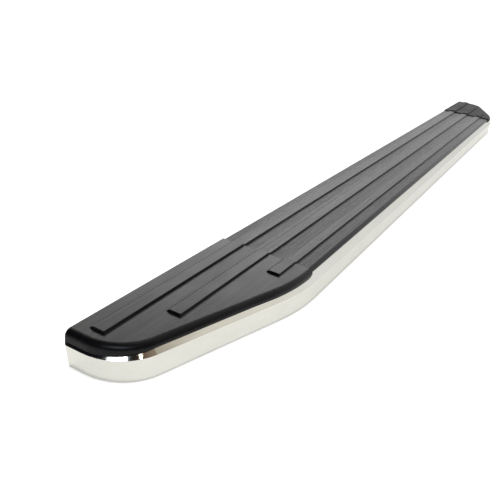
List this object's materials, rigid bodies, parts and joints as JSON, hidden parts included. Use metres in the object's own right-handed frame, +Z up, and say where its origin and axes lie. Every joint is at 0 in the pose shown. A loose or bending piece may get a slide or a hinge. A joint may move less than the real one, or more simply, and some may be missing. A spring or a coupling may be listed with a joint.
{
  "type": "running board",
  "caption": "Long side step for a truck: ribbed black tread on an aluminium plate, moulded end caps, a polished skirt, and T-bolts that slide in rails underneath.",
  "frame": {"origin": "middle of the bounding box, on the floor the board rests on", "axes": "+X along the board from the long front end to the short rear end, +Y inboard towards the vehicle, +Z up"},
  "size_m": [1.945, 0.1492, 0.0483],
  "materials": {
    "aluminium": "satin mill finish",
    "tread_black": "satin black, fine lengthwise grain",
    "cap_black": "satin black moulding",
    "polished_steel": "mirror-polished stainless sheet",
    "zinc_steel": "zinc plated"
  },
  "bodies": {
    "board": {"deck_plate": "aluminium", "side_angle": "aluminium", "channel_rail_inner": "aluminium", "channel_rail_outer": "aluminium", "rail_welds": "aluminium", "angle_welds": "aluminium", "tread_cover": "tread_black", "outer_trim": "polished_steel", "front_end_cap": "cap_black", "rear_end_cap": "cap_black", "trim_rivets_front": "zinc_steel", "trim_rivets_side": "zinc_steel", "trim_rivets_rear": "zinc_steel", "cap_screws_front": "zinc_steel", "cap_screws_rear": "zinc_steel"},
    "slide_front_inner": {"slide_bolt_front_inner": "zinc_steel", "slide_washer_front_inner": "zinc_steel", "slide_nut_front_inner": "zinc_steel"},
    "slide_front_outer": {"slide_bolt_front_outer": "zinc_steel", "slide_washer_front_outer": "zinc_steel", "slide_nut_front_outer": "zinc_steel"},
    "slide_middle_inner": {"slide_bolt_middle_inner": "zinc_steel", "slide_washer_middle_inner": "zinc_steel", "slide_nut_middle_inner": "zinc_steel"},
    "slide_middle_outer": {"slide_bolt_middle_outer": "zinc_steel", "slide_washer_middle_outer": "zinc_steel", "slide_nut_middle_outer": "zinc_steel"},
    "slide_rear_inner": {"slide_bolt_rear_inner": "zinc_steel", "slide_washer_rear_inner": "zinc_steel", "slide_nut_rear_inner": "zinc_steel"},
    "slide_rear_outer": {"slide_bolt_rear_outer": "zinc_steel", "slide_washer_rear_outer": "zinc_steel", "slide_nut_rear_outer": "zinc_steel"}
  },
  "joints": [
    {"name": "slide_front_inner", "type": "slide", "parent": "board", "child": "slide_front_inner", "axis": [1, 0, 0], "range_m": [-0.12, 0.18]},
    {"name": "slide_front_outer", "type": "slide", "parent": "board", "child": "slide_front_outer", "axis": [1, 0, 0], "range_m": [-0.12, 0.18]},
    {"name": "slide_middle_inner", "type": "slide", "parent": "board", "child": "slide_middle_inner", "axis": [1, 0, 0], "range_m": [-0.2, 0.2]},
    {"name": "slide_middle_outer", "type": "slide", "parent": "board", "child": "slide_middle_outer", "axis": [1, 0, 0], "range_m": [-0.2, 0.2]},
    {"name": "slide_rear_inner", "type": "slide", "parent": "board", "child": "slide_rear_inner", "axis": [1, 0, 0], "range_m": [-0.2, 0.15]},
    {"name": "slide_rear_outer", "type": "slide", "parent": "board", "child": "slide_rear_outer", "axis": [1, 0, 0], "range_m": [-0.2, 0.15]}
  ]
}
